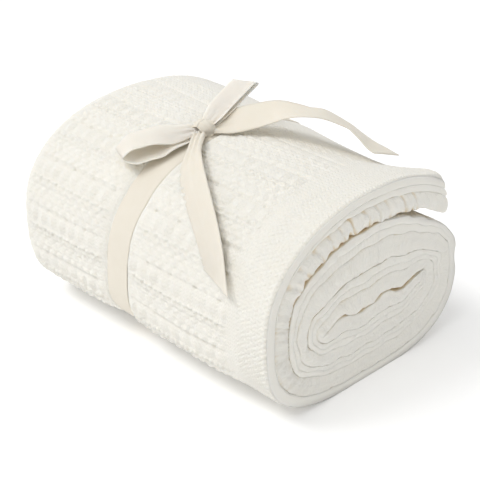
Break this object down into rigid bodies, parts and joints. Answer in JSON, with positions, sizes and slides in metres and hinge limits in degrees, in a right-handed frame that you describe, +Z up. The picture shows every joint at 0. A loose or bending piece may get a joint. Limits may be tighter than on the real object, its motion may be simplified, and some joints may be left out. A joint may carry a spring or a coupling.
{
  "type": "swaddle blanket",
  "caption": "Cream knitted baby blanket, folded and rolled into a flattened oval bundle and tied round with a cotton ribbon bow; unrolls to swaddle or cover a baby.",
  "frame": {"origin": "middle of the footprint, on the surface the roll lies on", "axes": "+X along the roll's axis towards the end with the border, +Z up, -Y the front that the ribbon's tail hangs over"},
  "size_m": [0.2504, 0.201, 0.1585],
  "materials": {
    "knit": "soft ivory cotton knit with eyelet and leaf rows",
    "ribbon": "matt woven cotton tape, bare"
  },
  "bodies": {
    "root": {"blanket": "knit", "ribbon": "ribbon"}
  },
  "joints": []
}
